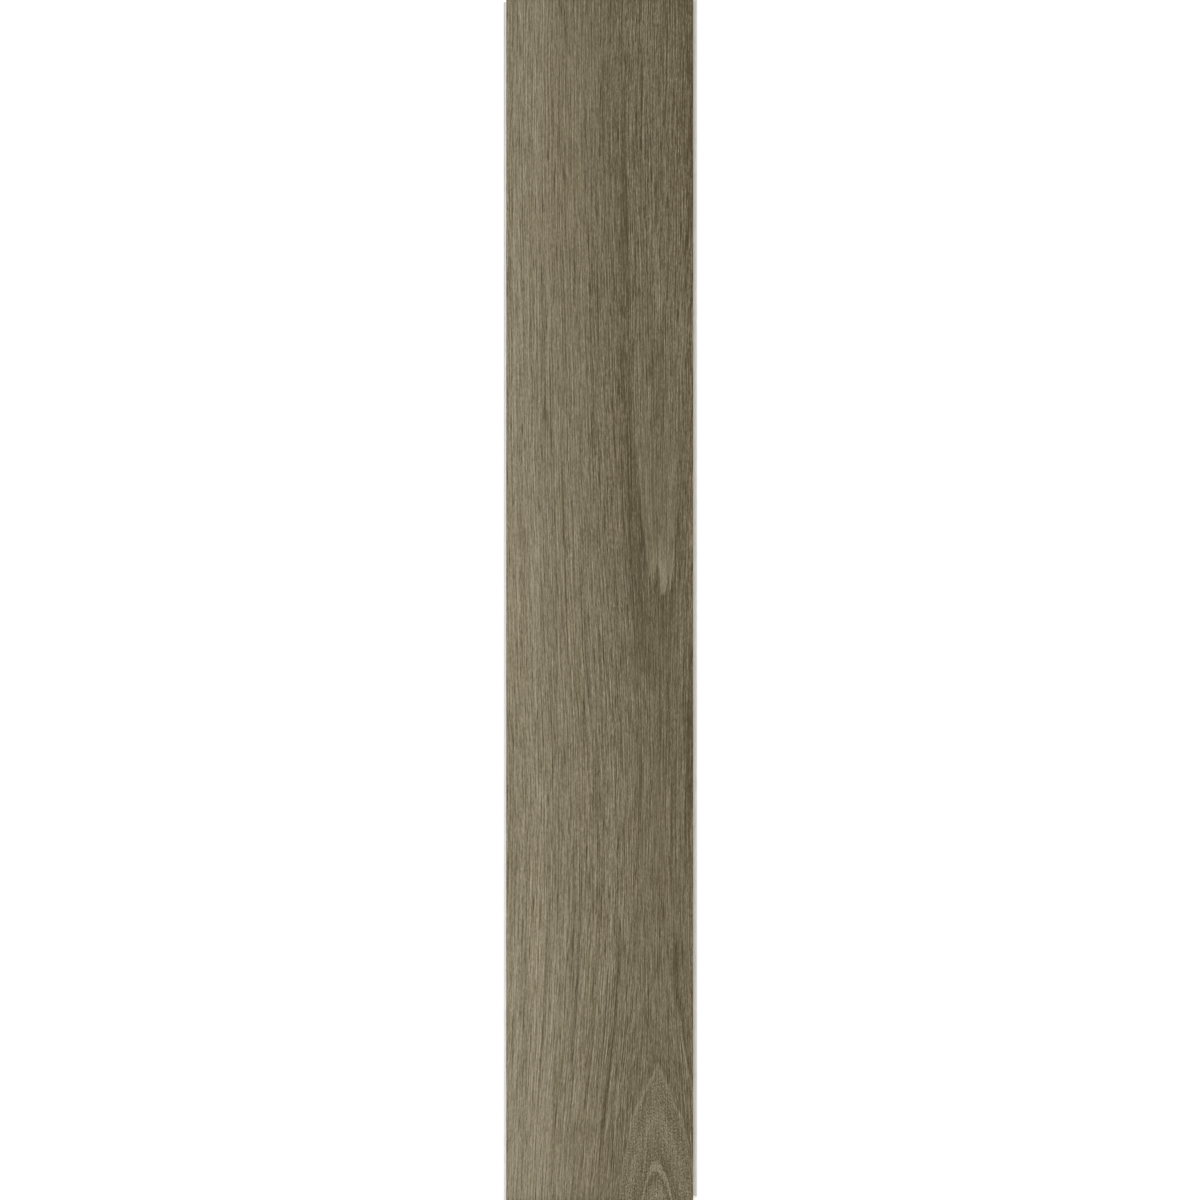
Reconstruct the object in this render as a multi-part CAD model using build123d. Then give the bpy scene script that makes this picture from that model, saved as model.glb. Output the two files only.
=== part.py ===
from build123d import *
import os
from math import radians, tan

# Printed face, from joint to joint, in millimetres
face_length = 1220.0
face_width = 190.0
thickness = 6.5
edge_bevel = 0.4  # micro-bevel along the four edges of the printed face

# Tongue and groove: the same milled profile on the long edges and on the ends
upper_lip = 1.9  # material above the groove
lower_lip = 2.3  # material below the groove
tongue_reach = 2.6  # how far the tongue stands out past the face

# Locking rib along the top of the lower lip
rib_foot = 2.0  # from the joint to the foot of the rib
rib_height = 0.6
rib_crest = 0.8  # flat top of the rib
rib_slope = 55.0  # angle of both flanks, in degrees
lip_land = 0.36  # flat between the rib and the end of the lip

# Play between two joined planks
fit_gap = 0.05  # above and below the tongue, and over the rib
tip_gap = 0.3  # past the tongue's nose and past the end of the lip

# Heights of the joint above the underside
groove_bottom = lower_lip
groove_top = thickness - upper_lip
groove_middle = (groove_bottom + groove_top) / 2
tongue_bottom = groove_bottom + fit_gap
tongue_top = groove_top - fit_gap

# Distances across the joint, measured from the edge of the face
rib_flank = rib_height / tan(radians(rib_slope))
lip_reach = rib_foot + rib_flank + rib_crest + rib_flank + lip_land
groove_depth = tongue_reach + tip_gap
recess_depth = lip_reach + tip_gap


def rib_outline():
    """Corners of the locking rib as (distance from the joint, rise), going outwards."""
    crest_start = rib_foot + rib_flank
    crest_end = crest_start + rib_crest
    return [
        (rib_foot, 0),
        (crest_start, rib_height),
        (crest_end, rib_height),
        (crest_end + rib_flank, 0),
    ]


def section(face_span):
    """Profile across a plank: the tongue on the left, the groove with its lower lip on the right."""
    tongue_joint = -face_span / 2
    groove_joint = face_span / 2
    nose_tip = tongue_joint - tongue_reach
    nose_start = nose_tip + (tongue_top - tongue_bottom) / 2
    groove_end = groove_joint - groove_depth
    groove_start = groove_end + (groove_top - groove_bottom) / 2
    lip_end = groove_joint + lip_reach
    recess_end = tongue_joint + recess_depth
    rib = [(groove_joint + run, groove_bottom + rise) for run, rise in rib_outline()]
    catch = [(tongue_joint + run, tongue_bottom + rise) for run, rise in rib_outline()]

    with BuildSketch() as profile:
        with BuildLine():
            # Tongue's upper side, joint face, printed face between its bevels, groove's upper wall
            Polyline(
                (nose_start, tongue_top),
                (tongue_joint, tongue_top),
                (tongue_joint, thickness - edge_bevel),
                (tongue_joint + edge_bevel, thickness),
                (groove_joint - edge_bevel, thickness),
                (groove_joint, thickness - edge_bevel),
                (groove_joint, groove_top),
                (groove_start, groove_top),
            )
            # Round end of the groove
            ThreePointArc(
                (groove_start, groove_top),
                (groove_end, groove_middle),
                (groove_start, groove_bottom),
            )
            # Lower lip with its rib, underside, recess for the next plank's lip, tongue's lower side
            Polyline(
                (groove_start, groove_bottom),
                *rib,
                (lip_end, groove_bottom),
                (lip_end, 0),
                (recess_end, 0),
                (recess_end, tongue_bottom),
                *reversed(catch),
                (nose_start, tongue_bottom),
            )
            # Round nose of the tongue
            ThreePointArc(
                (nose_start, tongue_bottom),
                (nose_tip, groove_middle),
                (nose_start, tongue_top),
            )
        make_face()
    return profile.sketch


def plank():
    """One board, profiled along its long edges and then across its ends."""
    long_edges = extrude(Plane.XZ * section(face_width), face_length, both=True)
    ends = extrude(Plane.YZ * section(face_length), face_width, both=True)
    # Where a tongue crosses a lip the cutters free a sliver of the rib, which falls away
    return (long_edges & ends).solids().sort_by(SortBy.VOLUME)[-1]


os.makedirs("parts", exist_ok=True)
export_step(plank(), "parts/plank.step")
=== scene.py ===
import math

import bmesh
import bpy
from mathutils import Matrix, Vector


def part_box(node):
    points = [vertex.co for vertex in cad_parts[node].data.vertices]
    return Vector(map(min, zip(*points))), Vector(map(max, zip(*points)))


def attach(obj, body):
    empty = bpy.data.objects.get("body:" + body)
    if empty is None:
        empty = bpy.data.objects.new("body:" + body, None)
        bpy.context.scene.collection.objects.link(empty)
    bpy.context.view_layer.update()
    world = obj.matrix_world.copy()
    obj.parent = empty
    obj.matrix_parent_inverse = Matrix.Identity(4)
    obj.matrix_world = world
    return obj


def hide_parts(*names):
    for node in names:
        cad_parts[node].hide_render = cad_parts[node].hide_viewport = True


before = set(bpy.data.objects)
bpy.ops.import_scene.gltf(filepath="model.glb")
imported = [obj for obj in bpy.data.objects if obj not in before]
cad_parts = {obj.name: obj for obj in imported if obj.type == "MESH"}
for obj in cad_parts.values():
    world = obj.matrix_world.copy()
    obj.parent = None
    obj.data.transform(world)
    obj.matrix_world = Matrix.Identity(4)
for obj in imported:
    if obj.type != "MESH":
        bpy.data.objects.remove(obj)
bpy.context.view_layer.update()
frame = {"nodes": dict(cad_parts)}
print("frame loaded:", ", ".join(frame["nodes"]))

mmPerMetre = 1000.0

# How the photograph shows the board: the printed face fills the frame from top to bottom
photo = {
    "pixels": 1200,        # width and height of the frame
    "faceLeft": 506.3,     # left and right edge of the printed face, in pixels
    "faceRight": 693.1,
    "faceLength": 1220.0,  # mm over the full height
    "shown": 1218.8,       # mm of it in the frame, so that the end bevels lie outside
}
mmPerPixel = photo["faceLength"] / photo["pixels"]
faceMiddle = (photo["faceLeft"] + photo["faceRight"]) / 2


def linearColour(red, green, blue):
    # 0-255 as seen on screen to the linear values that the sockets take
    def channel(level):
        share = level / 255
        return share / 12.92 if share <= 0.04045 else ((share + 0.055) / 1.055) ** 2.4
    return (channel(red), channel(green), channel(blue), 1.0)


# Small helpers for wiring nodes, the same in materials and in geometry nodes

def plug(tree, value, socket):
    if isinstance(value, bpy.types.NodeSocket):
        tree.links.new(value, socket)
    else:
        socket.default_value = value


def calc(tree, operation, *values, clamp=False):
    node = tree.nodes.new("ShaderNodeMath")
    node.operation = operation
    node.use_clamp = clamp
    for socket, value in zip(node.inputs, values):
        plug(tree, value, socket)
    return node.outputs[0]


def addUp(tree, values):
    total = values[0]
    for value in values[1:]:
        total = calc(tree, "ADD", total, value)
    return total


def times(tree, *values):
    product = values[0]
    for value in values[1:]:
        product = calc(tree, "MULTIPLY", product, value)
    return product


def onlyAbove(tree, value, threshold):
    return calc(tree, "MAXIMUM", calc(tree, "SUBTRACT", value, threshold), 0.0)


def ramp(tree, value, low, high, toLow=0.0, toHigh=1.0):
    # soft step from toLow to toHigh while the value goes from low to high
    node = tree.nodes.new("ShaderNodeMapRange")
    node.interpolation_type = "SMOOTHSTEP"
    plug(tree, value, node.inputs["Value"])
    node.inputs["From Min"].default_value = low
    node.inputs["From Max"].default_value = high
    node.inputs["To Min"].default_value = toLow
    node.inputs["To Max"].default_value = toHigh
    return node.outputs["Result"]


def curve(tree, value, points):
    # the value read off a curve drawn through points of (place, height)
    points = sorted(points)
    low, high = points[0][0], points[-1][0]
    bottom = min(height for place, height in points)
    top = max(height for place, height in points)
    share = calc(tree, "DIVIDE", calc(tree, "SUBTRACT", value, low), high - low, clamp=True)
    node = tree.nodes.new("ShaderNodeFloatCurve")
    plug(tree, share, node.inputs["Value"])
    line = node.mapping.curves[0]
    while len(line.points) < len(points):
        line.points.new(0.5, 0.5)
    for point, (place, height) in zip(line.points, points):
        point.location = ((place - low) / (high - low), (height - bottom) / (top - bottom))
    node.mapping.update()
    return calc(tree, "MULTIPLY_ADD", node.outputs[0], top - bottom, bottom)


# One seed for each noise, so that none repeats another; rings and fibres count up from theirs
seeds = {
    "drift": 1, "slip": 2, "rings": 3, "millLines": 5, "sandLines": 6, "fineSlip": 8, "stagger": 9,
    "fibres": 11, "flecks": 21, "lines": 23, "paleLines": 24, "hairlines": 25, "dashes": 26,
    "speckle": 27, "hue": 31, "pores": 41,
}
noise = {
    "seedStep": 7.31,      # cells from one seed to the next
    "roughness": 0.55,
    "middle": 0.5,
}


def streaks(tree, across, along, width, length, seed, detail=0.0, stagger=0.0):
    # noise drawn out along the board, centred on zero; stagger slides neighbours past each other
    place = tree.nodes.new("ShaderNodeCombineXYZ")
    start = noise["seedStep"] * seed
    plug(tree, calc(tree, "MULTIPLY_ADD", across, 1 / width, start), place.inputs["X"])
    plug(tree, calc(tree, "MULTIPLY_ADD", along, 1 / length, stagger), place.inputs["Y"])
    node = tree.nodes.new("ShaderNodeTexNoise")
    node.noise_dimensions = "2D"
    node.inputs["Scale"].default_value = 1.0
    node.inputs["Detail"].default_value = detail
    node.inputs["Roughness"].default_value = noise["roughness"]
    tree.links.new(place.outputs[0], node.inputs["Vector"])
    return calc(tree, "SUBTRACT", node.outputs[0], noise["middle"])


# The growth rings as the saw met them. A ring is known by its distance from the axis, in
# pixels of the photograph, and it moves in or out along the board as ringShift says.
oakFigure = {
    # line along the board where the rings are cut flattest
    "axis": [(0, 658), (480, 658.5), (594, 662), (700, 661), (900, 659), (1060, 656.5), (1200, 656)],
    "noseAbove": 12.0,         # how blunt the rings turn across the axis
    "noseBelow": 4.0,
    "noseChange": (620, 1000),  # from the one to the other, in pixels down the board
    "reach": 52.0,             # beyond this the rings run straight again
    "reachPower": 3.0,         # how suddenly
    "ringShift": [
        (0, -25), (200, -21), (340, -16.5), (480, -10), (534, -7.6), (566, -5.4), (580, -4),
        (588, -2.5), (594, 0), (602, 2.5), (640, 4.5), (700, 6), (800, 6), (900, 2), (950, -1),
        (1007, -14), (1033, -25), (1064, -40), (1110, -63), (1162, -89), (1200, -108),
    ],
    "waver": 5.0,              # how far the fibres drift sideways, in pixels
    "waverSize": (120.0, 280.0),  # over what width and length, in mm
    # how far the fibres on both sides have drawn towards the axis, in pixels
    "lean": [
        (0, 0), (150, 0), (300, 6), (450, 13), (550, 18), (650, 24), (750, 29), (850, 30),
        (940, 28), (1000, 24), (1100, 11), (1200, 1),
    ],
    "leanStart": 36.0,         # distance from the axis where they lean most, and where that dies out
    "leanReach": 130.0,
    "bundle": (7.0, 600.0),    # width and length of a bundle of fibres
    "bundleSlide": 4.0,        # how far the bundles slide past each other, in lengths of the fibres
    "slip": (3.6, 200.0),      # width and length of the fibres that slip along the board
    "fineSlip": (1.6, 90.0),   # and of finer ones
    "fineSlipShare": 0.5,
    "teethAbove": 60.0,        # pixels that they slip, which frays the rings
    "teethBelow": 5.0,
    "teethChange": (700, 950),
}


def grainLines(tree, position):
    # position in metres; what the print and the pressed relief both follow
    scaled = tree.nodes.new("ShaderNodeVectorMath")
    scaled.operation = "SCALE"
    tree.links.new(position, scaled.inputs[0])
    scaled.inputs["Scale"].default_value = mmPerMetre
    split = tree.nodes.new("ShaderNodeSeparateXYZ")
    tree.links.new(scaled.outputs[0], split.inputs[0])
    x, y, z = split.outputs

    # the same place as seen in the photograph
    pixelX = calc(tree, "MULTIPLY_ADD", x, 1 / mmPerPixel, faceMiddle)
    pixelY = calc(tree, "MULTIPLY_ADD", y, -1 / mmPerPixel, photo["pixels"] / 2)

    drift = streaks(tree, x, y, *oakFigure["waverSize"], seeds["drift"], detail=1.0)
    straight = calc(tree, "ADD", pixelX, times(tree, drift, oakFigure["waver"]))
    axis = curve(tree, pixelY, oakFigure["axis"])
    side = calc(tree, "SUBTRACT", straight, axis)
    sideSquared = calc(tree, "MULTIPLY", side, side)

    # the rings, frayed where fibres slip
    slip = streaks(tree, straight, pixelY, *oakFigure["slip"], seeds["slip"])
    fineSlip = streaks(tree, straight, pixelY, *oakFigure["fineSlip"], seeds["fineSlip"])
    slip = addUp(tree, [slip, times(tree, fineSlip, oakFigure["fineSlipShare"])])
    slip = times(tree, slip, ramp(
        tree, pixelY, *oakFigure["teethChange"], oakFigure["teethAbove"], oakFigure["teethBelow"]))
    shift = curve(tree, calc(tree, "ADD", pixelY, slip), oakFigure["ringShift"])
    share = calc(tree, "DIVIDE", calc(tree, "ABSOLUTE", side), oakFigure["reach"])
    power = calc(tree, "POWER", share, oakFigure["reachPower"])
    shift = times(tree, shift, calc(tree, "EXPONENT", times(tree, power, -1.0)))
    nose = ramp(tree, pixelY, *oakFigure["noseChange"], oakFigure["noseAbove"], oakFigure["noseBelow"])
    distance = calc(tree, "SQRT", calc(tree, "MULTIPLY_ADD", nose, nose, sideSquared))
    ring = calc(tree, "ADD", distance, shift)

    # the fibres, leaning towards the axis
    turn = calc(tree, "DIVIDE", side, calc(
        tree, "SQRT", calc(tree, "ADD", sideSquared, oakFigure["leanStart"] ** 2)))
    dying = calc(tree, "EXPONENT", times(tree, sideSquared, -1 / oakFigure["leanReach"] ** 2))
    lean = times(tree, curve(tree, pixelY, oakFigure["lean"]), turn, dying)
    fibre = calc(tree, "ADD", straight, lean)
    stagger = times(tree, streaks(tree, fibre, pixelY, *oakFigure["bundle"], seeds["stagger"]),
                    oakFigure["bundleSlide"])
    return {"x": x, "y": y, "z": z, "pixelX": pixelX, "pixelY": pixelY, "fibre": fibre, "ring": ring,
            "side": side, "straight": straight, "stagger": stagger, "slip": slip}


# The printed film. Tones are screen levels, 0 to 255, of red, green and blue taken together.
# Places are pixels of the photograph, and a pair of them is where something starts and is complete.
oakPrint = {
    "tones": [
        (60, (72.6, 62, 40.3)), (85, (98.6, 88.5, 64.8)), (108, (121.6, 111.5, 87.8)),
        (132, (146.6, 136.5, 112.8)), (165, (179.6, 169.5, 147.3)),
    ],
    # from the pale left edge to the dark right edge
    "acrossBoard": [
        (506, 124), (532, 126.2), (553, 119.4), (592, 111.5), (625, 105), (660, 102.7),
        (683, 102.2), (693, 99.3),
    ],
    "alongBoard": 0.0085,      # levels per pixel, paler towards the lower end
    # lower edge of the pale tongue, (x, y), with the teeth of its tip
    "tongueEdge": [
        (636, 420), (638.5, 465), (640.7, 496), (641.5, 520), (643.4, 533), (645.5, 546),
        (646.2, 561), (647, 560), (649.3, 577), (651.7, 564), (653.6, 580), (655, 571),
        (656.4, 581), (657.7, 565), (660.5, 591), (661.5, 595), (664, 594), (667.2, 583),
        (668.3, 572), (669.7, 591), (671.3, 580), (673, 568), (674.2, 548), (675.9, 535),
        (677.3, 512), (678, 480), (679, 430),
    ],
    "tongueSoft": 0.5,         # half width of that edge
    "tongueSides": [(635.5, 637.5), (679.5, 678)],
    "tongueFade": (360, 530, 0.2, 1.0),  # down the board, and from what share to what share
    "tonguePale": 4.5,         # levels inside the tongue, and more at its tip
    "tonguePaleTip": 18.0,
    "tongueTip": (530, 590),
    "tongueShade": -7.0,       # just outside it, dying out over so many pixels down the board
    "tongueShadeLength": 20.0,
    "shadeTop": (440, 510),
    "shadeLeft": (615, 640),
    "tongueRight": 0.45,       # the shade is weaker on the right of the axis
    "rightOfAxis": (0, 14),
    "tongueCalm": 0.25,        # the fibres are weaker inside
    "halo": [(8, 0), (12.5, -6.5), (18, -7.5), (24, -8), (30, -5), (38, 0)],  # rings round the tongue
    "haloTop": (330, 570, 0.35, 1.0),
    "haloEnd": (780, 640),
    # upper edges of the arches at the lower end, (x, y)
    "archEdge": [
        (617, 1215), (619, 1200), (621.5, 1172), (625, 1152), (629, 1131), (632.5, 1118),
        (636, 1107), (640.5, 1098), (644, 1091), (648.5, 1079), (654.5, 1069), (657.5, 1064),
        (660, 1067), (666.5, 1080), (669.5, 1084), (671, 1093), (676, 1107), (681.5, 1113),
        (684, 1122), (686, 1134), (689, 1144), (691, 1160), (694, 1185),
    ],
    "innerArchEdge": [
        (636, 1215), (640, 1199), (643.5, 1190), (646, 1176), (648.5, 1169), (651, 1163),
        (654.5, 1160), (659, 1162), (662, 1167), (665.5, 1171), (668, 1181), (671.5, 1194), (676, 1215),
    ],
    "outerArchEdge": [(672, 980), (678, 1010), (683, 1040), (686.5, 1061), (690.5, 1078), (695, 1096)],
    # levels across such an edge, by pixels below it
    "archLevels": [
        (-26, 0), (-9, -5), (-1, -7), (1.5, 11), (5, 8), (10, 1), (36, -2), (46, 4), (58, -1),
        (75, -2), (90, -5),
    ],
    "innerArchLevels": [
        (-14, 0), (-4, -9), (-0.5, -10), (1.5, 19), (8, 18), (11, 1), (15, -9), (20, -2), (26, 9),
    ],
    "outerArchLevels": [(-24, 0), (-14, -7), (-2, -9), (2, 5), (12, 2), (24, 0), (40, 0)],
    "outerArchLeft": (670, 680),  # only its right flank shows
    "archTop": (920, 980),
    "archInside": (-2, 12),    # pixels below the edge
    "archCalm": 0.5,           # the long fibres are weaker inside the first arch
    "archSpeckle": (1.3, 1.7, 82.0),  # and short ones take their place: width, length, strength
    # the other rings of the lower end, by ring
    "arches": [
        (-75, 0), (-40, 0), (-34, -3), (-21, -4), (-12, -2), (-7, 4), (-4, -3), (3, 0), (12, -7),
        (16, 0), (30, 0), (38, -5), (42, 0),
    ],
    # rings of the arches that are cut so flat that the pores show as flecks
    "flecks": [
        (-110, 1), (-90, 1), (-84, 0), (-74, 0.1), (-62, 1), (-50, 0.3), (-38, 0.1), (-28, 0.5), (-10, 0),
    ],
    "fleck": (1.6, 4.5, 45.0),  # width, length, strength
    "fleckAbove": 0.04,        # only the peaks of the noise show
    "calmArches": 0.6,         # the finer rings are weaker between the arches
    "calmTop": (940, 1040),
    "lines": (1.2, 170.0, -140.0),    # single long dark lines: width, length, strength
    "paleLines": (1.2, 120.0, 30.0),
    "dashes": (1.1, 23.0, -150.0),    # short dark ones, the open pores
    "lineAbove": 0.12,         # only the peaks of the noise show
    "hairlines": (1.9, 150.0),        # thin unbroken lines: spacing and how far they run straight
    "darkHair": (-0.06, 0.08, -11.5),  # where in the noise they lie, how thin they are, levels
    "paleHair": (0.08, 0.06, 5.0),
    "fibreLeft": 0.82,         # the fibres are weaker on the pale left half and stronger on the right
    "fibreRight": 1.17,
    "fibreChange": (560, 660),
    # width, length, strength, and how far a pale copy lies beside the dark fibre, which paints the light and
    # shade of the pressed relief onto the print
    "fibres": [
        (1.4, 1.1, 24.0, 0.0), (1.2, 4.0, 38.0, 0.0), (0.9, 14.0, 26.0, 1.3), (1.1, 32.0, 34.0, 0.0),
        (1.0, 75.0, 26.0, 1.3), (1.6, 500.0, 28.0, 0.0), (0.4, 9.0, 26.0, 0.0), (0.25, 16.0, 26.0, 0.0),
    ],
    "rings": [(2.0, 700.0, 16.0), (7.0, 900.0, 8.0)],
    # single marks: x, y, half width, half length, slant and levels
    "marks": {
        "edgeTop": (690, 80, 5, 140, 0, -11),
        "edgeMiddle": (690, 735, 5, 90, 0, -19),
        "darkBand": (625, 280, 8, 190, 0, -3),
        "longLine": (624, 290, 1.8, 170, 0.01, -7),
        "longLineEnd": (630, 445, 1.3, 48, 0.08, -9),
        "tongueLight": (676.3, 500, 1.0, 50, 0.005, 9),
        "bandLeft": (606, 270, 12, 150, 0, -4),
        "besideTongue": (635, 550, 5, 110, 0.05, -8.5),
        "belowLeft": (643, 625, 7, 35, 0, -5),
        "shadow": (677, 962, 3.2, 30, 0, -20),
        "shadowTail": (677, 915, 2.4, 55, 0, -5),
        "paleLine": (549, 990, 1.3, 230, -0.012, 6),
        "paleBand": (534.5, 520, 6, 150, 0, 2),
        "paleEdge": (512, 460, 8, 270, 0, 3.5),
        "paleCorner": (526, 40, 14, 90, 0, 4),
        "belowTongue": (655, 735, 12, 70, 0, -1.5),
        "slantAbove": (681, 370, 1.5, 40, -0.167, 7),
        "slantMiddle": (683.5, 675, 1.6, 34, -0.22, 6),
        "lineMiddle": (640, 810, 1.9, 105, 0, -2),
        "paleMiddle": (612, 880, 20, 170, 0, 4.5),
        "paleLow": (613, 1060, 11, 60, 0, 4),
        "paleCentre": (605, 420, 18, 110, 0, 3.5),
        "paleTop": (650, 60, 18, 90, 0, 3.5),
        "paleUpper": (660, 340, 10, 60, 0, 4),
        "paleRight": (688, 915, 6, 50, 0, 6),
        "rightMiddle": (684, 540, 5, 110, 0, -3),
        "paleLower": (566, 1000, 14, 75, 0, 3.5),
        "leftLower": (512, 785, 9, 120, 0, -8),
    },
    # thin drawn lines: half width, levels and points of (y, x)
    "drawn": {
        "topLeft": (1.0, -20, [(8, 516.4), (25, 518.4), (45, 519.9), (66, 521.1)]),
        "upperLong": (1.4, -17, [
            (105, 622.8), (140, 623.6), (180, 624.2), (212, 625), (235, 626.5), (290, 628.7),
        ]),
        "upperRight": (1.2, -19, [(98, 664.5), (118, 664.8), (138, 665.1)]),
        "tongueLeft": (1.2, -26, [
            (484, 639), (500, 639.6), (515, 640.3), (528, 641.5), (542, 643.5), (556, 645.5),
        ]),
        "tongueRight": (1.4, -12, [
            (495, 678.7), (530, 677.8), (548, 675.7), (568, 674.4), (585, 673), (600, 671.4),
        ]),
        "edgeLine": (1.6, -16, [(680, 689.8), (720, 688), (760, 687.7), (800, 688), (840, 688.8)]),
        "middleLeft": (1.5, -19, [(730, 594.6), (780, 596.4), (830, 597.7), (874, 597.9), (920, 596.7)]),
        "middleRight": (1.6, -12, [(735, 639.2), (771, 640.4), (800, 640.7), (834, 640.2), (880, 640.5)]),
        "brownLine": (1.5, -14, [(760, 672.8), (800, 672.1), (850, 671.9), (900, 672.4), (945, 673)]),
        "brownLight": (1.4, 9, [(760, 669.6), (800, 668.9), (850, 668.7), (900, 669.2), (945, 669.8)]),
        "shadowLine": (1.4, -18, [
            (935, 675.6), (960, 676.6), (985, 679.1), (1010, 680.6), (1030, 683.1), (1060, 687.6),
        ]),
        "lowerLong": (1.3, -28, [
            (900, 620), (950, 619.3), (970, 618.3), (1003, 615.8), (1030, 613.8), (1055, 611.3),
            (1080, 608.3), (1105, 604.8), (1125, 603.3), (1145, 600.8), (1170, 599), (1210, 598.3),
        ]),
        "lowerLeft": (1.2, -20, [
            (930, 595.5), (965, 594), (1000, 593), (1025, 592), (1060, 589.5), (1110, 586),
        ]),
        "lowerRight": (1.2, -6, [
            (985, 627), (1005, 625.5), (1035, 622), (1060, 619), (1095, 614.5), (1140, 611),
        ]),
        "lowerEdge": (1.3, -20, [(1115, 574.5), (1140, 573.8), (1165, 573.5), (1210, 572.3)]),
    },
    "drawnFade": 5,            # such a line fades out over a fifth of its length at each end
    "hue": 0.084,              # share between the warmer and the cooler streaks
    "hueSize": (16.0, 330.0),  # their width and length
    "hueRed": 0.5,             # how much of it red gains and blue loses
    "hueBlue": -1.0,
    "pressedFibres": (3, 4),   # those of the fibres that are pressed in, and how much beside the rings
    "pressedShare": 0.7,
    "pressedRange": (0.22, -0.25),  # in the noise, from the ridges to the hollows
    "roughness": 0.52,
    "duller": 0.14,            # added to the roughness in the hollows
    "specular": 0.2,
    "pores": (0.5, 7.0),       # width and length of the finest pores
    "poreDepth": 0.08,         # mm
    "poreBump": 0.6,
    "hollowBump": -0.5,        # the hollows, as a share of the pores
}


def mark(tree, lines, place, level, halfWidth, halfLength, slant, levels):
    # one soft streak along the grain
    below = calc(tree, "SUBTRACT", lines["pixelY"], level)
    beside = calc(tree, "SUBTRACT", calc(tree, "MULTIPLY_ADD", below, -slant, lines["straight"]), place)
    wide = calc(tree, "DIVIDE", beside, halfWidth)
    long = calc(tree, "DIVIDE", below, halfLength)
    longSquared = calc(tree, "MULTIPLY", long, long)
    squares = calc(tree, "MULTIPLY_ADD", wide, wide, calc(tree, "MULTIPLY", longSquared, longSquared))
    return times(tree, calc(tree, "EXPONENT", times(tree, squares, -1.0)), levels)


def drawnLine(tree, lines, halfWidth, levels, points):
    first, last = points[0][0], points[-1][0]
    fade = (last - first) / oakPrint["drawnFade"]
    beside = calc(tree, "SUBTRACT", lines["pixelX"], curve(tree, lines["pixelY"], points))
    wide = calc(tree, "DIVIDE", beside, halfWidth)
    thin = calc(tree, "EXPONENT", times(tree, wide, wide, -1.0))
    shown = times(tree, ramp(tree, lines["pixelY"], first, first + fade),
                  ramp(tree, lines["pixelY"], last, last - fade))
    return times(tree, thin, shown, levels)


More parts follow.
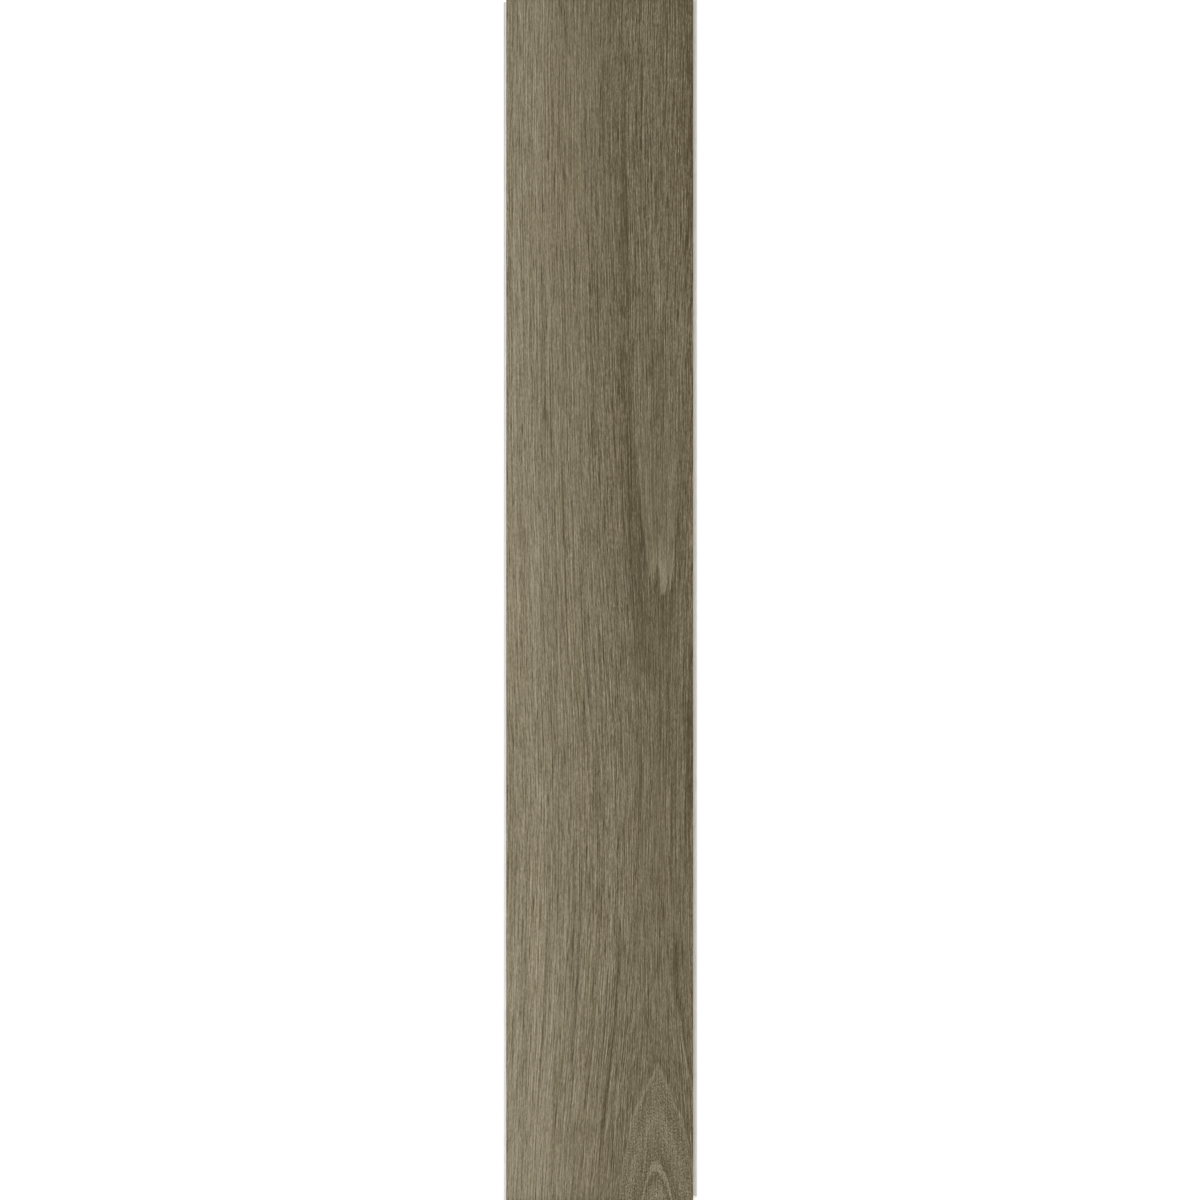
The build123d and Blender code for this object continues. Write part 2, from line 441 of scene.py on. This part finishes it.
def printTone(tree, lines):
    pixelX, pixelY, fibre, ring = (lines[key] for key in ("pixelX", "pixelY", "fibre", "ring"))

    def alongFibre(width, length, seed, across=fibre):
        return streaks(tree, across, pixelY, width, length, seed, stagger=lines["stagger"])

    parts = [
        curve(tree, pixelX, oakPrint["acrossBoard"]),
        times(tree, calc(tree, "SUBTRACT", pixelY, photo["pixels"] / 2), oakPrint["alongBoard"]),
    ]
    # the tongue is plainest near its tip and fades up the board
    belowTongue = calc(tree, "SUBTRACT", pixelY, curve(tree, pixelX, oakPrint["tongueEdge"]))
    soft = oakPrint["tongueSoft"]
    inTongue = times(tree, ramp(tree, belowTongue, soft, -soft), ramp(tree, pixelY, *oakPrint["tongueFade"]),
                     *(ramp(tree, pixelX, *side) for side in oakPrint["tongueSides"]))
    pale = oakPrint["tonguePale"]
    pale = ramp(tree, pixelY, *oakPrint["tongueTip"], pale, pale + oakPrint["tonguePaleTip"])
    parts.append(times(tree, inTongue, pale))
    weaker = ramp(tree, lines["side"], *oakPrint["rightOfAxis"], 1.0, oakPrint["tongueRight"])
    outside = times(tree, ramp(tree, belowTongue, -soft, soft), ramp(tree, pixelY, *oakPrint["shadeTop"]),
                    weaker, ramp(tree, pixelX, *oakPrint["shadeLeft"]))
    shade = calc(tree, "EXPONENT", calc(tree, "MINIMUM", calc(
        tree, "DIVIDE", belowTongue, -oakPrint["tongueShadeLength"]), 0.0))
    parts.append(times(tree, outside, shade, oakPrint["tongueShade"]))
    above = times(tree, ramp(tree, pixelY, *oakPrint["haloEnd"]), ramp(tree, pixelY, *oakPrint["haloTop"]))
    parts.append(times(tree, curve(tree, ring, oakPrint["halo"]), above, weaker))

    # the arches
    below = ramp(tree, pixelY, *oakPrint["archTop"])
    parts.append(times(tree, curve(tree, ring, oakPrint["arches"]), below))
    inArch = {}
    for name in ("innerArch", "outerArch", "arch"):
        inArch[name] = calc(tree, "ADD", calc(
            tree, "SUBTRACT", pixelY, curve(tree, pixelX, oakPrint[name + "Edge"])), lines["slip"])
        levels = times(tree, curve(tree, inArch[name], oakPrint[name + "Levels"]), below)
        if name == "outerArch":
            levels = times(tree, levels, ramp(tree, pixelX, *oakPrint["outerArchLeft"]))
        parts.append(levels)
    inside = ramp(tree, inArch["arch"], *oakPrint["archInside"])
    width, length, strength = oakPrint["archSpeckle"]
    parts.append(times(tree, alongFibre(width, length, seeds["speckle"]), inside, strength))

    # rings and fibres
    calmer = ramp(tree, pixelY, *oakPrint["calmTop"], 1.0, oakPrint["calmArches"])
    for count, (width, length, strength) in enumerate(oakPrint["rings"]):
        band = streaks(tree, ring, pixelY, width, length, seeds["rings"] + count)
        parts.append(times(tree, band, calmer, strength))
    calm = calc(tree, "MULTIPLY_ADD", inTongue, -oakPrint["tongueCalm"], 1.0)
    calm = calc(tree, "MULTIPLY_ADD", inside, -oakPrint["archCalm"], calm)
    calm = times(tree, calm, ramp(
        tree, pixelX, *oakPrint["fibreChange"], oakPrint["fibreLeft"], oakPrint["fibreRight"]))
    fines = []
    for count, (width, length, strength, paintedShadingOffset) in enumerate(oakPrint["fibres"]):
        seed = seeds["fibres"] + count
        fine = alongFibre(width, length, seed)
        # with an offset, the fibre less its shifted copy gives each dark print line a pale side: painted
        # light and shade of the pressed relief
        if paintedShadingOffset:
            light = alongFibre(width, length, seed, calc(tree, "ADD", fibre, paintedShadingOffset))
            fine = calc(tree, "SUBTRACT", fine, light)
        fines.append(times(tree, fine, strength))
    parts.append(times(tree, addUp(tree, fines), calm))
    width, length, strength = oakPrint["fleck"]
    fleck = onlyAbove(tree, alongFibre(width, length, seeds["flecks"]), oakPrint["fleckAbove"])
    flecked = times(tree, curve(tree, ring, oakPrint["flecks"]), below)
    parts.append(times(tree, fleck, flecked, strength))

    # single lines and dashes stand out from the rest
    for name in ("lines", "paleLines", "dashes"):
        width, length, strength = oakPrint[name]
        line = onlyAbove(tree, alongFibre(width, length, seeds[name]), oakPrint["lineAbove"])
        parts.append(times(tree, line, calm, strength))
    # hairlines follow the contours of a drawn-out noise
    hair = streaks(tree, fibre, pixelY, *oakPrint["hairlines"], seeds["hairlines"])
    for level, thin, strength in (oakPrint["darkHair"], oakPrint["paleHair"]):
        away = calc(tree, "ABSOLUTE", calc(tree, "SUBTRACT", hair, level))
        parts.append(times(tree, ramp(tree, away, thin, 0.0), calm, strength))
    parts.extend(mark(tree, lines, *values) for values in oakPrint["marks"].values())
    parts.extend(drawnLine(tree, lines, *values) for values in oakPrint["drawn"].values())
    return addUp(tree, parts)


def pressed(tree, lines):
    # 0 on the ridges to 1 in the hollows: the darker rings and lines are pressed deeper
    width, length = oakPrint["rings"][0][:2]
    hollow = streaks(tree, lines["ring"], lines["pixelY"], width, length, seeds["rings"])
    for count in oakPrint["pressedFibres"]:
        width, length = oakPrint["fibres"][count][:2]
        fine = streaks(tree, lines["fibre"], lines["pixelY"], width, length, seeds["fibres"] + count,
                       stagger=lines["stagger"])
        hollow = calc(tree, "MULTIPLY_ADD", fine, oakPrint["pressedShare"], hollow)
    return ramp(tree, hollow, *oakPrint["pressedRange"])


def newMaterial(name):
    material = bpy.data.materials.new(name)
    material.use_nodes = True
    tree = material.node_tree
    shader = tree.nodes["Principled BSDF"]
    coordinates = tree.nodes.new("ShaderNodeTexCoord")
    return material, tree, shader, coordinates.outputs["Object"]


def toneColour(tree, tone, tones):
    # the colour of a tone, between the (tone, colour) pairs of a list
    lowest, highest = tones[0][0], tones[-1][0]
    share = calc(tree, "DIVIDE", calc(tree, "SUBTRACT", tone, lowest), highest - lowest)
    node = tree.nodes.new("ShaderNodeValToRGB")
    stops = node.color_ramp.elements
    while len(stops) < len(tones):
        stops.new(0.5)
    for stop, (level, colour) in zip(stops, tones):
        stop.position = (level - lowest) / (highest - lowest)
        stop.color = linearColour(*colour)
    tree.links.new(share, node.inputs["Fac"])
    return node.outputs["Color"]


def addBump(tree, shader, height, strength, depth):
    # depth in mm
    node = tree.nodes.new("ShaderNodeBump")
    node.inputs["Strength"].default_value = strength
    node.inputs["Distance"].default_value = depth / mmPerMetre
    plug(tree, height, node.inputs["Height"])
    tree.links.new(node.outputs["Normal"], shader.inputs["Normal"])


def makePrintMaterial():
    material, tree, shader, position = newMaterial("oak_print")
    lines = grainLines(tree, position)
    colour = toneColour(tree, printTone(tree, lines), oakPrint["tones"])
    # warmer and cooler streaks
    warm = streaks(tree, lines["fibre"], lines["pixelY"], *oakPrint["hueSize"], seeds["hue"], detail=1.0)
    warm = times(tree, warm, oakPrint["hue"])
    tint = tree.nodes.new("ShaderNodeCombineXYZ")
    plug(tree, calc(tree, "MULTIPLY_ADD", warm, oakPrint["hueRed"], 1.0), tint.inputs["X"])
    tint.inputs["Y"].default_value = 1.0
    plug(tree, calc(tree, "MULTIPLY_ADD", warm, oakPrint["hueBlue"], 1.0), tint.inputs["Z"])
    tinted = tree.nodes.new("ShaderNodeVectorMath")
    tinted.operation = "MULTIPLY"
    tree.links.new(colour, tinted.inputs[0])
    tree.links.new(tint.outputs[0], tinted.inputs[1])
    tree.links.new(tinted.outputs[0], shader.inputs["Base Color"])
    # the hollows are duller than the ridges
    hollow = pressed(tree, lines)
    dull = calc(tree, "MULTIPLY_ADD", hollow, oakPrint["duller"], oakPrint["roughness"])
    plug(tree, dull, shader.inputs["Roughness"])
    shader.inputs["Specular IOR Level"].default_value = oakPrint["specular"]
    # pores too fine for the mesh
    pores = streaks(tree, lines["fibre"], lines["pixelY"], *oakPrint["pores"], seeds["pores"],
                    stagger=lines["stagger"])
    height = addUp(tree, [pores, times(tree, hollow, oakPrint["hollowBump"])])
    addBump(tree, shader, height, oakPrint["poreBump"], oakPrint["poreDepth"])
    return material


# The stone and vinyl core, bare on the milled edges and on the underside
core = {
    "tones": [
        (0.0, (205, 202, 195)), (0.45, (232, 230, 225)), (0.75, (240, 238, 233)), (1.0, (247, 246, 243)),
    ],
    "plainTone": 0.62,
    "cloud": (14.0, 3.0, 0.5),        # size in mm, detail and strength
    "grit": (0.5, 1.0, 0.9),
    "gritBelow": 0.1,          # only the hollows of the noise that are deeper show
    "millLines": (0.16, 70.0, 0.5),   # on the edges: height, length and strength
    "sandLines": (0.7, 55.0, 0.45),   # on the underside: width, length and strength
    "underside": (0.06, 0.02),        # mm, where the one gives way to the other
    "roughness": 0.68,
    "lineRoughness": 0.2,      # added along the lines
    "specular": 0.3,
    "gritDepth": 0.03,         # mm
    "gritBump": 0.5,
}


def cloudNoise(tree, position, size, detail):
    node = tree.nodes.new("ShaderNodeTexNoise")
    node.inputs["Scale"].default_value = mmPerMetre / size
    node.inputs["Detail"].default_value = detail
    tree.links.new(position, node.inputs["Vector"])
    return calc(tree, "SUBTRACT", node.outputs[0], noise["middle"])


def makeCoreMaterial():
    material, tree, shader, position = newMaterial("stone_core")
    split = tree.nodes.new("ShaderNodeSeparateXYZ")
    tree.links.new(position, split.inputs[0])
    x, y, z = (times(tree, axis, mmPerMetre) for axis in split.outputs)
    size, detail, strength = core["cloud"]
    cloud = times(tree, cloudNoise(tree, position, size, detail), strength)
    size, detail, strength = core["grit"]
    grit = calc(tree, "ADD", cloudNoise(tree, position, size, detail), core["gritBelow"])
    grit = times(tree, calc(tree, "MINIMUM", grit, 0.0), strength)
    height, length, strength = core["millLines"]
    edge = streaks(tree, z, calc(tree, "ADD", x, y), height, length, seeds["millLines"], detail=1.0)
    edge = times(tree, edge, strength)
    width, length, strength = core["sandLines"]
    under = times(tree, streaks(tree, x, y, width, length, seeds["sandLines"], detail=1.0), strength)
    flat = ramp(tree, z, *core["underside"])
    lines = addUp(tree, [times(tree, under, flat), times(tree, edge, calc(tree, "SUBTRACT", 1.0, flat))])
    tone = addUp(tree, [calc(tree, "ADD", cloud, core["plainTone"]), grit, lines])
    tree.links.new(toneColour(tree, tone, core["tones"]), shader.inputs["Base Color"])
    rough = calc(tree, "MULTIPLY_ADD", lines, core["lineRoughness"], core["roughness"])
    plug(tree, rough, shader.inputs["Roughness"])
    shader.inputs["Specular IOR Level"].default_value = core["specular"]
    addBump(tree, shader, addUp(tree, [grit, lines]), core["gritBump"], core["gritDepth"])
    return material


# The board itself: the milled solid, with its face pressed to the grain
board = {
    "name": "oak_plank",
    "cutsAlong": (19, 20),     # two passes of cuts: 20 x 21 cells along the face
    "cutsAcross": (14, 14),    # and 15 x 15 across it
    "flat": 1e-6,              # metres; closer than this is the same height
    "flatAngle": math.radians(0.5),   # and flatter than this is the same face
    "sharpAngle": math.radians(30),
    "printSlot": 0,
    "coreSlot": 1,
    "printDepth": 0.41,        # mm, so that the print reaches over the bevels
    "printSlope": 0.3,         # but not onto the upright sides
    "pressDepth": 0.1,         # mm, deepest hollow of the relief
    "plainRim": 1.6,           # mm along the edge over which the relief fades out
    "faceHeight": 0.01,        # mm below the top that still count as the face
    "faceShare": 0.82,         # width of the bake map that the printed face takes
    "faceMargin": 0.002,       # round the face on the map, and round the core
    "coreMargin": 0.005,
    "seamAngle": 1.15,         # radians, where the core is cut apart on the map
    "islandMargin": 0.004,
}


def selectEdges(mesh, wanted):
    edit = bmesh.from_edit_mesh(mesh)
    for element in (*edit.verts, *edit.edges, *edit.faces):
        element.select = False
    for edge in edit.edges:
        if wanted(edge):
            edge.select = True
    bmesh.update_edit_mesh(mesh)


def cutFace(mesh, high):
    # cells fine enough for the relief, on the printed face only
    def onFace(edge):
        return all(abs(vert.co.z - high.z) < board["flat"] for vert in edge.verts)

    def runsAlong(edge):
        return abs(edge.verts[0].co.x - edge.verts[1].co.x) < board["flat"]

    bpy.ops.object.mode_set(mode="EDIT")
    bpy.ops.mesh.select_mode(type="EDGE")
    bpy.ops.mesh.select_all(action="SELECT")
    bpy.ops.mesh.remove_doubles(threshold=board["flat"])
    bpy.ops.mesh.dissolve_limited(angle_limit=board["flatAngle"])
    for cuts in board["cutsAlong"]:
        selectEdges(mesh, lambda edge: onFace(edge) and runsAlong(edge))
        bpy.ops.mesh.subdivide(number_cuts=cuts)
    for cuts in board["cutsAcross"]:
        selectEdges(mesh, lambda edge: onFace(edge) and not runsAlong(edge))
        bpy.ops.mesh.subdivide(number_cuts=cuts)
    bpy.ops.object.mode_set(mode="OBJECT")


def pressGrain(piece, high, halfFace):
    # the face is lowered where the film was pressed in
    tree = bpy.data.node_groups.new("pressedGrain", "GeometryNodeTree")
    tree.interface.new_socket("Geometry", in_out="INPUT", socket_type="NodeSocketGeometry")
    tree.interface.new_socket("Geometry", in_out="OUTPUT", socket_type="NodeSocketGeometry")
    start = tree.nodes.new("NodeGroupInput")
    end = tree.nodes.new("NodeGroupOutput")
    position = tree.nodes.new("GeometryNodeInputPosition")
    lines = grainLines(tree, position.outputs[0])
    depth = times(tree, pressed(tree, lines), -board["pressDepth"] / mmPerMetre)
    for place, half in zip((lines["x"], lines["y"]), halfFace):
        toEdge = calc(tree, "SUBTRACT", half * mmPerMetre, calc(tree, "ABSOLUTE", place))
        depth = times(tree, depth, ramp(tree, toEdge, 0.0, board["plainRim"]))
    onTop = calc(tree, "GREATER_THAN", lines["z"], high.z * mmPerMetre - board["faceHeight"])
    offset = tree.nodes.new("ShaderNodeCombineXYZ")
    plug(tree, times(tree, depth, onTop), offset.inputs["Z"])
    move = tree.nodes.new("GeometryNodeSetPosition")
    tree.links.new(start.outputs[0], move.inputs["Geometry"])
    tree.links.new(offset.outputs[0], move.inputs["Offset"])
    tree.links.new(move.outputs[0], end.inputs[0])
    modifier = piece.modifiers.new("pressedGrain", "NODES")
    modifier.node_group = tree
    bpy.ops.object.modifier_apply(modifier=modifier.name)


def layOut(piece, low, high):
    # bake map: the printed face takes most of the square, the core the strip beside it
    mesh = piece.data
    while mesh.uv_layers:
        mesh.uv_layers.remove(mesh.uv_layers[0])
    mesh.uv_layers.new(name="OFBake")
    bpy.ops.object.mode_set(mode="EDIT")
    bpy.ops.mesh.select_mode(type="FACE")
    edit = bmesh.from_edit_mesh(mesh)
    for face in edit.faces:
        face.select = face.material_index == board["coreSlot"]
    bmesh.update_edit_mesh(mesh)
    bpy.ops.uv.smart_project(
        angle_limit=board["seamAngle"], island_margin=board["islandMargin"], scale_to_bounds=True)
    bpy.ops.object.mode_set(mode="OBJECT")
    places = mesh.uv_layers["OFBake"].data
    share, rim, gap = board["faceShare"], board["faceMargin"], board["coreMargin"]
    for face in mesh.polygons:
        for loop in face.loop_indices:
            if face.material_index == board["coreSlot"]:
                u, v = places[loop].uv
                places[loop].uv = (share + 2 * gap + u * (1 - 3 * gap - share), gap + v * (1 - 2 * gap))
            else:
                spot = mesh.vertices[mesh.loops[loop].vertex_index].co
                u = (spot.x - low.x) / (high.x - low.x)
                v = (spot.y - low.y) / (high.y - low.y)
                places[loop].uv = (rim + u * (share - 2 * rim), rim + v * (1 - 2 * rim))


def makeBoard(printed, coreStuff):
    node = frame["nodes"]["plank"]
    low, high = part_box("plank")
    piece = bpy.data.objects.new(board["name"], node.data.copy())
    bpy.context.scene.collection.objects.link(piece)
    bpy.ops.object.select_all(action="DESELECT")
    piece.select_set(True)
    bpy.context.view_layer.objects.active = piece
    mesh = piece.data
    cutFace(mesh, high)
    print("board cut for the relief:", len(mesh.polygons), "faces")

    mesh.materials.clear()
    mesh.materials.append(printed)
    mesh.materials.append(coreStuff)
    bevelFoot = high.z - board["printDepth"] / mmPerMetre
    for face in mesh.polygons:
        onTop = face.center.z > bevelFoot and face.normal.z > board["printSlope"]
        face.material_index = board["printSlot"] if onTop else board["coreSlot"]
    topCorners = [vert.co for vert in mesh.vertices if vert.co.z > high.z - board["flat"]]
    pressGrain(piece, high, (max(spot.x for spot in topCorners), max(spot.y for spot in topCorners)))
    print("grain pressed")
    layOut(piece, low, high)
    print("bake map laid out")
    bpy.ops.object.shade_smooth_by_angle(angle=board["sharpAngle"])
    return piece


# Camera, floor and light
studio = {
    "lens": 110.0,
    "sensor": 36.0,
    "clipEnd": 100.0,
    "floorSize": 30.0,
    "floorGap": 0.0002,        # metres below the underside
    "floorColour": (232, 232, 232),
    "floorRoughness": 0.9,
    "floorGlow": (0.5, 0.78),  # near the board and far from it, where the lamps no longer reach
    "glowRange": (1.5, 6.0),   # metres
    "worldLevel": 0.29,        # as light; it shows as white
}
lamps = {
    "key": {"place": (-2.6, 0.0, 3.4), "size": 3.0, "watts": 104.0},
    "fill": {"place": (2.8, 0.0, 3.4), "size": 3.0, "watts": 62.0},
}


def makeCamera():
    data = bpy.data.cameras.new("camera")
    data.lens = studio["lens"]
    data.sensor_width = studio["sensor"]
    data.clip_end = studio["clipEnd"]
    camera = bpy.data.objects.new("camera", data)
    bpy.context.scene.collection.objects.link(camera)
    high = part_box("plank")[1]
    distance = photo["shown"] / mmPerMetre * studio["lens"] / studio["sensor"]
    across = (photo["pixels"] / 2 - faceMiddle) * mmPerPixel / mmPerMetre
    camera.location = (across, 0, high.z + distance)
    bpy.context.scene.camera = camera


def seenRays(tree):
    # 1 for what the camera sees, also in a reflection, and 0 for light
    path = tree.nodes.new("ShaderNodeLightPath")
    return calc(tree, "MAXIMUM", path.outputs["Is Camera Ray"], calc(
        tree, "MAXIMUM", path.outputs["Is Glossy Ray"], path.outputs["Is Transmission Ray"]))


def makeFloor():
    bpy.ops.object.select_all(action="DESELECT")
    bpy.ops.mesh.primitive_plane_add(size=studio["floorSize"], location=(0, 0, -studio["floorGap"]))
    floor = bpy.context.object
    floor.name = "floor"
    material, tree, shader, position = newMaterial("floor_paper")
    shader.inputs["Base Color"].default_value = linearColour(*studio["floorColour"])
    shader.inputs["Roughness"].default_value = studio["floorRoughness"]
    shader.inputs["Specular IOR Level"].default_value = 0.0
    away = tree.nodes.new("ShaderNodeVectorMath")
    away.operation = "LENGTH"
    tree.links.new(position, away.inputs[0])
    glow = ramp(tree, away.outputs["Value"], *studio["glowRange"], *studio["floorGlow"])
    shader.inputs["Emission Color"].default_value = (1, 1, 1, 1)
    tree.links.new(times(tree, seenRays(tree), glow), shader.inputs["Emission Strength"])
    floor.data.materials.append(material)


def makeLight():
    for name, lamp in lamps.items():
        data = bpy.data.lights.new(name, "AREA")
        data.shape = "SQUARE"
        data.size = lamp["size"]
        data.energy = lamp["watts"]
        light = bpy.data.objects.new(name, data)
        bpy.context.scene.collection.objects.link(light)
        light.location = lamp["place"]
        light.rotation_euler = (-light.location).to_track_quat("-Z", "Y").to_euler()
        light.visible_camera = False
    world = bpy.data.worlds.new("studio")
    bpy.context.scene.world = world
    world.use_nodes = True
    tree = world.node_tree
    background = tree.nodes["Background"]
    background.inputs["Color"].default_value = (1, 1, 1, 1)
    level = calc(tree, "MAXIMUM", seenRays(tree), studio["worldLevel"])
    tree.links.new(level, background.inputs["Strength"])


bpy.context.scene.view_settings.view_transform = "Standard"
makeCamera()
makeFloor()
makeLight()
print("studio set up")
plank = makeBoard(makePrintMaterial(), makeCoreMaterial())
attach(plank, "root")
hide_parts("plank")
print("plank finished:", len(plank.data.polygons), "faces")
